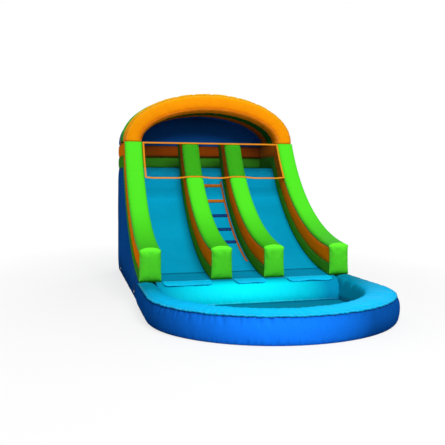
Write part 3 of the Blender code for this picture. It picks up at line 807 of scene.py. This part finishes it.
# The splash pool is an air ring: a bulging blue outer wall, and a light blue rim that falls softly into the
# basin. Puckers run across both from the weld where they meet.
rim_width = 0.321
basin_half_width = pool_half_width - rim_width
basin_straight = 0.85
basin_nose = 2.12
basin_lean = 0.12
rim_z = ledge_z - 0.0063
rim_flange = 0.014
pool_bulge = 0.039
pool_steps = 440
pleat_count = 31
pool_skin = 0.008
pool_front = front_y - pool_straight - pool_nose
wall_swells = ((0.1, 0.25), (0.3, 0.78), (0.5, 1.0), (0.72, 0.9), (0.9, 0.4))
# Painted light: the rim is bright light blue at the front and deeper towards the rear, and the outer wall is
# bright blue where it faces forward near its middle and deeper towards its ends; the outer wall is also painted
# darker towards the ground.
rim_sun = ((0.001, 0.5, 0.92), 0.2, 0.85, 1, pool_front, 2.9)
outer_sun = ((0.006, 0.195, 0.93), 0.25, 0.97, 0, -0.85, 1.95)
outer_blue = (0.003, 0.075, 0.34)
rim_vinyl = vinyl("rim_vinyl", (0.001, 0.24, 0.38), 0.7, gloss=0.01, pucker=0.012, sunlit=rim_sun)
outer_vinyl = vinyl("outer_pool_vinyl", outer_blue, 0.55, gloss=0.0, pucker=0.02, sunlit=outer_sun, painted_shade_height=0.24)


def pool_line(half, straight, nose):
    """Plan points and outward normals along the U of the pool, evenly spaced, from right rear to left rear."""
    points = [Vector((half, front_y - 0.0006 - straight * k / 60, 0)) for k in range(60)]
    for turn in spread(0, pi, 240):
        points.append(Vector((half * cos(turn), front_y - straight - nose * sin(turn), 0)))
    points += [Vector((-p.x, p.y, 0)) for p in reversed(points[:60])]
    far = [0.0]
    for a, b in zip(points, points[1:]):
        far.append(far[-1] + (b - a).length)
    line = []
    k = 0
    for goal in spread(0, far[-1], pool_steps):
        while k < len(far) - 2 and far[k + 1] < goal:
            k += 1
        share = (goal - far[k]) / (far[k + 1] - far[k])
        along = (points[k + 1] - points[k]).normalized()
        line.append((points[k].lerp(points[k + 1], share), Vector((-along.y, along.x, 0))))
    return line


def smooth(profile, steps=4):
    """Points of a soft curve through a profile's own points."""
    padded = [profile[0], *profile, profile[-1]]
    points = []
    for a, b, c, d in zip(padded, padded[1:], padded[2:], padded[3:]):
        for k in range(steps):
            t = k / steps
            cubic = (3 * b - a - 3 * c + d) * t ** 3
            points.append(0.5 * (2 * b + (c - a) * t + (2 * a - 5 * b + 4 * c - d) * t * t + cubic))
    return [*points, profile[-1]]


def pool():
    outer_line = pool_line(pool_half_width, pool_straight, pool_nose)
    basin_line = pool_line(basin_half_width, basin_straight, basin_nose)
    floor_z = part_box("pool_rim")[0].z
    up = Vector((0, 0, 1))
    outer_rows, rim_rows = [], []
    for j, ((a, n), (b, m)) in enumerate(zip(outer_line, basin_line)):
        s = j / pool_steps * pleat_count
        bulge = pool_bulge + ripple(0.004, s * 1.4, 0, 5)
        profile = [a - n * 0.04, a - n * 0.012]
        profile += [a + n * bulge * out + up * rim_z * share for share, out in wall_swells]
        profile += [a - n * 0.006 + up * (rim_z - 0.006), a - n * 0.03 + up * (rim_z - 0.009)]
        row = []
        for p in smooth(profile):
            edge = 1 - min(1, abs(p.z - rim_z) / 0.2)
            p.z = max(0.0, p.z)
            foot = 1 - min(1, p.z / 0.16)
            row.append(p + n * (ripple(0.008, s * 5.5, p.z, 1) * edge + ripple(0.003, s * 4, p.z, 2) * foot))
        outer_rows.append(row)
        profile = [
            a + n * rim_flange + up * (rim_z - 0.002),
            a - n * 0.004 + up * (rim_z + 0.001),
            a.lerp(b, 0.14) + up * (rim_z + 0.006),
            a.lerp(b, 0.42) + up * (rim_z + 0.01 + ripple(0.004, s, 0, 9)),
            a.lerp(b, 0.8) + up * (rim_z - 0.004),
            b + up * (rim_z - 0.03),
            b - m * basin_lean * 0.3 + up * (rim_z - 0.1),
            b - m * basin_lean * 0.7 + up * rim_z * 0.45,
            b - m * basin_lean * 0.95 + up * (floor_z + 0.08),
            b - m * basin_lean + up * floor_z,
        ]
        row = []
        soft = smooth(profile)
        for k, p in enumerate(soft):
            share = k / (len(soft) - 1)
            shoulder = max(0, 1 - abs(share - 0.5) / 0.3)
            weld = max(0.35, 1 - share / 0.5) * min(1, share / 0.05) * within((0.8 - share) / 0.2)
            fold = 1 - abs(ripple(2, s * 3.1, share * 1.1, 4))
            lift = 0.022 * (fold - 0.75) * weld + ripple(0.008, s * 2.4, share * 2, 6) * shoulder
            row.append(p + up * lift + m * ripple(0.006, s * 3, share, 8) * shoulder)
        rim_rows.append(row)
    wall = loft("pool_wall_skin", outer_rows, (0, 32), ring=False, ends=False, light=(0, -1, 0.1))
    rim = loft("pool_rim_skin", rim_rows, (0, 36), ring=False, ends=False)
    inflate([(wall, 33, (0, 1, 2, 3, 4, 5, 31, 32)), (rim, 37, (0, 1, 2, 3, 34, 35, 36))], 0.07, 0.022)
    fit(wall, outer_vinyl, "pool_outer_wall")
    fit(rim, rim_vinyl, "pool_rim")
    for item in (wall, rim):
        skin = item.modifiers.new("skin", "SOLIDIFY")
        skin.thickness = pool_skin
        skin.offset = -1


pool()

# The climbing lane has five padded steps between two webbing straps, sewn flat on the lane. The upper two steps
# are orange and the lower three navy.
first_step = radians(28.5)
step_pitch = radians(6.2)
step_half_depth = 0.045
step_height = 0.05
strap_profile = ((0, 0.001), (0, 0.005), (0.12, 0.0065), (0.88, 0.0065), (1, 0.005), (1, 0.001))
webbing_grain = 260.0


def webbing(name, colour):
    """Woven strap, ribbed across its length."""
    material, place = new_material(name)
    rib = place.bands("Z", webbing_grain / 6)
    cross = place.bands("X", webbing_grain / 4)
    fade = place.clouds(5.0, 4.0)
    colouring = (fade * 0.6 + rib * 0.25).mix(rgba(colour, 0.7), rgba(colour))
    return dress(material, colouring, rib * cross, 0.0012, 0.6, 0.62 + fade * 0.2, 0.08)


red_webbing = webbing("red_webbing", (0.6, 0.15, 0.008))
navy_step_vinyl = vinyl("navy_step_vinyl", (0.004, 0.05, 0.22), 0.6, gloss=0.01)
orange_step_vinyl = vinyl("orange_step_vinyl", (0.64, 0.18, 0.006), 0.6, gloss=0.01)


def on_lane(x, angle, along, lift):
    """A point over the lane, along its slope and lifted off it."""
    turned = (0, along * cos(angle) - lift * sin(angle), along * sin(angle) + lift * cos(angle))
    return arc_point(x, lane_radius - 0.0015, angle) + Vector(turned)


for step in range(5):
    node = f"climb_step_{step + 1}"
    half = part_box(node)[1].x
    angle = first_step + step * step_pitch
    rows = []
    for u in spread(-1, 1, 48):
        x = half * sin(u * pi / 2)
        full = (1 - abs(u) ** 6) ** 0.5
        row = []
        for turn in spread(0, pi, 16):
            along = step_half_depth * cos(turn) * (0.72 + 0.28 * full)
            lift = 0.001 + (step_height - 0.002) * sin(turn) ** 0.85 * (0.12 + 0.88 * full)
            row.append(on_lane(x, angle, along, lift + ripple(0.002, x * 12, turn, step) * sin(turn)))
        rows.append(row)
    item = loft(f"padded_step_{step + 1}", rows, (0, 16))
    if step > 2:
        fit(item, orange_step_vinyl, node)
    else:
        fit(item, navy_step_vinyl, node)

for side in ("left", "right"):
    low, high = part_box(f"{side}_climb_strap")
    rows = []
    for j, angle in enumerate(spread(angle_at_z(lane_radius, low.z), angle_at_z(lane_radius, high.z), 80)):
        row = []
        for share, lift in strap_profile:
            lift += ripple(0.001, j * 0.3, share, 2) if lift > 0.004 else 0
            row.append(on_lane(low.x + (high.x - low.x) * share, angle, 0, lift))
        rows.append(row)
    fit(loft(f"{side}_ladder_strap", rows), red_webbing, f"{side}_climb_strap")

# An exit flap hangs over the roll from each lane's end. It is a doubled sheet with a hemmed, rounded free edge
# that lies on the roll in a slight wave.
# Painted highlight: near its welds, along the top edge and the hemmed free edge, the flap is painted a lighter
# blue.
flap_vinyl = vinyl("flap_vinyl", (0.001, 0.5, 0.8), 1.35, gloss=0.02, pucker=0.003)
flap_corner = 0.11


def exit_flap(side):
    low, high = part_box(f"{side}_exit_flap")
    length = acos(low.z / ledge_z)
    middle_x = (low.x + high.x) / 2
    half = (high.x - low.x) / 2
    rows = []
    for u in spread(-1, 1, 60):
        x = middle_x + half * u
        cut = max(0, flap_corner - (half - abs(x - middle_x))) / flap_corner
        reach = length * (1 - 0.3 * (1 - sqrt(max(0, 1 - cut * cut))) - 0.03 * exp(-(u / 0.3) ** 2))
        wave = 0.024 + 0.007 * sin(u * 5 + middle_x)
        over, under = [], []
        for share in spread(0, 1, 24):
            angle = reach * share
            lift = 0.0015 + wave * share ** 2
            hem = 0.004 + 0.007 * max(0, 1 - (1 - share) / 0.12)
            for line, rise in ((over, lift + hem), (under, lift)):
                line.append((x, front_y - (roll_reach + rise) * sin(angle), (ledge_z + rise) * cos(angle)))
        rows.append(over + under[::-1])
    item = loft(f"{side}_lane_flap", rows, (0, 24))
    fit(item, flap_vinyl, f"{side}_exit_flap", body=f"{side}_flap")


for side in ("left", "centre", "right"):
    exit_flap(side)

# The safety net closes the slide's head to climbers from outside. Black cords cross in small meshes inside an
# orange webbing border, which lies on the inner rails' caps and dips between them.
net_radius = cap_radius - cap_crown - 0.008
net_low = 2.631
net_pitch = 0.022
cord_width = 0.0036
border_width = 0.045
border_profile = ((-1, 0.0), (-1, 0.004), (-0.6, 0.006), (0.6, 0.006), (1, 0.004), (1, 0.0))
net_sag = 0.022
net_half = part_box("net_border")[1].x
net_first = angle_at_z(net_radius, net_low)
net_last = angle_at_z(net_radius, spring_z - 0.004)
net_height = net_radius * (net_last - net_first)


def plain_finish(name, colour, roughness, grain, depth, gloss=0.5, metal=0.0):
    material, place = new_material(name)
    speck = place.clouds(grain, 4.0)
    colouring = speck.mix(rgba(colour, 0.75), rgba(colour, 1.15))
    return dress(material, colouring, speck, depth, 0.5, roughness + speck * 0.15, gloss, metal)


net_cord = plain_finish("net_cord", (0.006, 0.006, 0.007), 0.8, 400.0, 0.0008, gloss=0.0)
border_webbing = webbing("border_webbing", (0.86, 0.3, 0.012))


def net_point(x, share, lift=0.0):
    """A point of the net: it rests on the inner caps and dips between them, most at its lower edge."""
    near = min(abs(abs(x) - inner_rail_x), abs(abs(x) - outer_rail_x))
    dip = net_sag * within((near - 0.12) / 0.3) * (1 - share) ** 1.5
    angle = net_first + (net_last - net_first) * share
    return arc_point(x, net_radius + dip - lift, angle) - Vector((0, 0, dip))


def net():
    """The cords: each is a square bar along a line of points, and ends inside the border."""
    thick = cord_width / 2
    reach = net_half - border_width * 0.8
    edge = border_width / net_height * 0.8
    columns = round(2 * (net_half - border_width) / net_pitch)
    cross_cords = round((net_height - 2 * border_width) / net_pitch)
    cords = []
    for x in spread(-reach, reach, columns):
        cords.append(([net_point(x, share) for share in spread(edge, 1 - edge, 16)], Vector((thick, 0, 0))))
    for share in spread(edge, 1 - edge, cross_cords):
        angle = net_first + (net_last - net_first) * share
        side = Vector((0, thick * cos(angle), thick * sin(angle)))
        cords.append(([net_point(x, share) for x in spread(-reach, reach, 72)], side))
    corners, faces = [], []
    for line, side in cords:
        out = Vector((0, -thick * 0.7 if side.x else thick * 0.7, thick * 0.7))
        base = len(corners)
        for p in line:
            corners += [tuple(p + side), tuple(p + out), tuple(p - side), tuple(p - out)]
        for j in range(len(line) - 1):
            for k in range(4):
                a, b = base + j * 4 + k, base + j * 4 + (k + 1) % 4
                faces.append((a, b, b + 4, a + 4))
        faces += [range(base, base + 4), range(len(corners) - 4, len(corners))]
    mesh = bpy.data.meshes.new("net_cords")
    mesh.from_pydata(corners, [], faces)
    turn_outward(mesh)
    mesh.shade_smooth()
    return fit(add("net_cords", mesh), net_cord, "safety_net")


def net_edge():
    """The border: a flat webbing band round the net, with a doubled edge."""
    half = border_width / 2
    inner = net_half - half
    edge = half / net_height
    across = spread(-inner, inner, 96)
    up = spread(edge, 1 - edge, 24)[1:-1]
    path = [(x, edge, 0, 1) for x in across]
    path += [(inner, share, -1, 0) for share in up]
    path += [(x, 1 - edge, 0, -1) for x in reversed(across)]
    path += [(-inner, share, 1, 0) for share in reversed(up)]
    rows = []
    for x, share, inward, upward in [*path, path[0]]:
        row = []
        for side, lift in border_profile:
            if upward and abs(abs(x) - inner) < 0.001:
                band_x = x + copysign(half, -x) * side
            else:
                band_x = x + inward * side * half
            row.append(net_point(band_x, share + upward * side * edge, lift - 0.002))
        rows.append(row)
    return fit(loft("net_border_band", rows, ends=False), border_webbing, "net_border")


mesh_of_cords = net()
border = net_edge()

# Rear fittings: the blower's sleeve is an open tube of navy vinyl with a hem and a tie strap. The deflation zip
# of black plastic lies low on the wall under its cover flap, and its slider is zinc-plated steel.
sleeve_radius = 0.148
sleeve_skin = 0.006
tie_place = 0.62
tie_profile = ((-0.014, 0.0), (-0.014, 0.003), (0.014, 0.003), (0.014, 0.0))
tooth_pitch = 0.006
tooth_height = 0.009
tooth_depth = 0.0055
tape_depth = 0.002
black_plastic = plain_finish("zip_plastic", (0.02, 0.02, 0.022), 0.4, 300.0, 0.0004)
zinc = plain_finish("zinc_steel", (0.6, 0.61, 0.63), 0.22, 220.0, 0.0002, metal=1.0)
bpy.data.objects["zip_slider"].data.materials.clear()
bpy.data.objects["zip_slider"].data.materials.append(zinc)


def sleeve():
    low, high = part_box("blower_sleeve")
    middle = (low + high) / 2
    turns = spread(0, 2 * pi, 96)
    rows = []
    for skin, lengths in ((0, spread(low.y, high.y, 60)), (sleeve_skin, spread(high.y, low.y, 60))):
        for y in lengths:
            share = (y - low.y) / (high.y - low.y)
            tie = 0.012 * exp(-((share - tie_place) / 0.06) ** 2)
            hem = 0.002 if share > 0.9 else 0
            row = []
            for turn in turns[:-1]:
                pleat = ripple(0.006, cos(turn) * 5, sin(turn) * 5, share * 0.6) * (0.3 + 60 * tie)
                radius = sleeve_radius - 0.002 - tie + hem + pleat * 0.6 - skin
                row.append((middle.x + radius * cos(turn), y, middle.z + radius * sin(turn)))
            rows.append(row)
    item = loft("blower_sleeve_tube", [*rows, rows[0]], ends=False, joined=True)
    fit(item, wall_vinyl, "blower_sleeve")
    tie_y = low.y + (high.y - low.y) * tie_place
    rows = []
    for turn in turns:
        row = []
        for across, lift in tie_profile:
            radius = sleeve_radius - 0.011 + lift
            row.append((middle.x + radius * cos(turn), tie_y + across, middle.z + radius * sin(turn)))
        rows.append(row)
    strap = loft("sleeve_tie_strap", rows, ends=False)
    strap.data.materials.append(border_webbing)
    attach(strap, "slide_body")


def zip_teeth():
    low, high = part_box("zip_track")
    middle = (low + high) / 2
    parts = [(middle.x, middle.z, high.x - low.x, high.z - low.z, tape_depth)]
    for k in range(int((high.x - low.x) / tooth_pitch)):
        z = middle.z + (0.0025 if k % 2 else -0.0025)
        parts.append((low.x + tooth_pitch * (k + 0.5), z, tooth_pitch * 0.62, tooth_height, tooth_depth))
    bm = bmesh.new()
    for x, z, width, height, depth in parts:
        made = bmesh.ops.create_cube(bm, size=1.0)["verts"]
        bmesh.ops.scale(bm, vec=(width, depth, height), verts=made)
        bmesh.ops.translate(bm, vec=(x, low.y + depth / 2, z), verts=made)
    mesh = bpy.data.meshes.new("zip_tape")
    bm.to_mesh(mesh)
    bm.free()
    fit(add("zip_tape", mesh), black_plastic, "zip_track")


def zip_cover():
    low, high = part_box("zip_cover")
    height = high.z - low.z
    rows = []
    for x in spread(low.x, high.x, 80):
        over, under = [], []
        for share in spread(0, 1, 18):
            rise = (high.y - low.y - 0.0045) * within((share - 0.06) / 0.18) ** 0.7
            rise += ripple(0.004, x * 6, share * 2, 5) * max(0, share - 0.3)
            z = high.z - height * share
            over.append((x, low.y + 0.003 + rise, z))
            under.append((x, low.y + rise, z))
        rows.append(over + under[::-1])
    item = fit(loft("zip_cover_flap", rows, (0, 18)), wall_vinyl, "zip_cover", body="cover_flap")


sleeve()
zip_teeth()
zip_cover()

# Ground anchors: a patch of navy webbing is sewn flat on each side wall, near the front and the rear. The loop at
# its lower edge holds a zinc-plated steel D-ring, which swings.
ring_wire = 0.004
ring_half_width = 0.034
ring_drop = 0.055
bar_z = 0.16
patch_thickness = 0.006
navy_webbing = webbing("navy_webbing", (0.012, 0.05, 0.2))


def poly_line(curve, points):
    """Adds a closed line through those points to a curve."""
    spline = curve.splines.new("POLY")
    spline.points.add(len(points) - 1)
    for knot, point in zip(spline.points, points):
        knot.co = (*point, 1)
    spline.use_cyclic_u = True


def anchor(side, sign, end):
    low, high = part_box(f"{side}_{end}_anchor_tab")
    middle_y = (low.y + high.y) / 2
    wall_x = sign * half_width
    bar_x = sign * (half_width + 0.0003 + ring_wire + 0.001 + patch_thickness)
    bore = ring_wire + 0.0008
    back_x, front_x = wall_x + sign * 0.0005, wall_x + sign * patch_thickness
    outline = [(back_x, high.z, 0), (back_x, bar_z + 0.012, 0)]
    radius = bore + patch_thickness
    for turn in spread(pi, 3 * pi - 0.9, 24):
        outline.append((bar_x + sign * radius * cos(turn), bar_z + radius * sin(turn), 0))
    outline += [(front_x, bar_z + 0.014, 0), (front_x, high.z, 0)]
    hole = []
    for turn in spread(0, 2 * pi, 28)[:-1]:
        hole.append((bar_x + sign * bore * cos(turn), bar_z + bore * sin(turn), 0))
    curve = bpy.data.curves.new(f"{side}_{end}_tab_outline", "CURVE")
    curve.dimensions = "2D"
    curve.fill_mode = "BOTH"
    curve.extrude = (high.y - low.y) / 2 - 0.001
    poly_line(curve, outline)
    poly_line(curve, hole)
    guide = add(f"{side}_{end}_tab_guide", curve)
    guide.rotation_euler = (pi / 2, 0, 0)
    guide.location = (0, middle_y, 0)
    bpy.context.view_layer.update()
    mesh = bpy.data.meshes.new_from_object(guide.evaluated_get(bpy.context.evaluated_depsgraph_get()))
    mesh.transform(guide.matrix_world)
    bpy.data.objects.remove(guide, do_unlink=True)
    fit(add(f"{side}_{end}_tab", mesh), navy_webbing, f"{side}_{end}_anchor_tab")
    ring = bpy.data.curves.new(f"{side}_{end}_ring", "CURVE")
    ring.dimensions = "3D"
    ring.bevel_depth = ring_wire
    ring.bevel_resolution = 4
    bow = []
    for turn in spread(0, pi, 40):
        bow.append((bar_x, middle_y + ring_half_width * cos(turn), bar_z - ring_drop * sin(turn)))
    poly_line(ring, bow)
    item = add(f"{side}_{end}_ring", ring)
    fit(item, zinc, f"{side}_{end}_anchor_ring", body=f"{side}_{end}_ring")


for side, sign in (("left", -1), ("right", 1)):
    for end in ("front", "rear"):
        anchor(side, sign, end)

# The slide stands on a pale studio floor. A broad lamp in front and above lights it, and the white surroundings
# fill the shade. The floor shows nearly white to the camera but keeps the slide's shadow.
floor_size = 60.0
floor_depth = 0.001
fill_strength = 0.36


def white_view(tree):
    """One for rays that look at the surroundings: from the camera, by reflection or through something clear."""
    path = Socket(tree).node("LightPath").source.node
    seen, mirrored, through = (
        Socket(tree, path.outputs[f"Is {kind} Ray"]) for kind in ("Camera", "Glossy", "Transmission")
    )
    return seen.at_least(mirrored).at_least(through)


def lamp(name, place, target, size, power):
    data = bpy.data.lights.new(name, "AREA")
    data.size = size
    data.energy = power
    item = add(name, data)
    item.location = place
    item.rotation_euler = (Vector(target) - Vector(place)).to_track_quat("-Z", "Y").to_euler()


mesh = bpy.data.meshes.new("studio_floor")
floor_corners = [(x * floor_size, y * floor_size, -floor_depth) for x, y in ((-1, -1), (1, -1), (1, 1), (-1, 1))]
mesh.from_pydata(floor_corners, [], [(0, 1, 2, 3)])
floor = add("studio_floor", mesh)
material, place = new_material("studio_floor")
shader = material.node_tree.nodes["Principled BSDF"]
shader.inputs["Base Color"].default_value = (0.75, 0.75, 0.75, 1)
shader.inputs["Roughness"].default_value = 0.9
across, back = place.parts()[:2]
distance = ((across * 0.27) ** 2.0 + (back * 0.16) ** 2.0) ** 0.5
open_floor = (distance - 1.0).at_least(0.0).at_most(1.0)
white = place.node("Emission", {"Color": (1, 1, 1, 1), "Strength": 1.0})
lit = Socket(place.tree, shader.outputs[0])
share = white_view(place.tree) * (open_floor * 0.25 + 0.75)
both = place.node("MixShader", {0: share, 1: lit, 2: white})
output = material.node_tree.nodes["Material Output"]
material.node_tree.links.new(both.source, output.inputs["Surface"])
floor.data.materials.append(material)

world = bpy.data.worlds.new("studio")
bpy.context.scene.world = world
world.use_nodes = True
strength = white_view(world.node_tree) * (1 - fill_strength) + fill_strength
background = world.node_tree.nodes["Background"]
background.inputs["Color"].default_value = (1, 1, 1, 1)
world.node_tree.links.new(strength.source, background.inputs["Strength"])

lamp("key_lamp", (0.5, -12.5, 12.5), (0.0, 0.0, 1.0), 8.0, 2500)
lamp("back_lamp", (2.0, 14.0, 9.0), (0.0, 2.0, 1.5), 8.0, 700)

bpy.context.scene.view_settings.view_transform = "Standard"
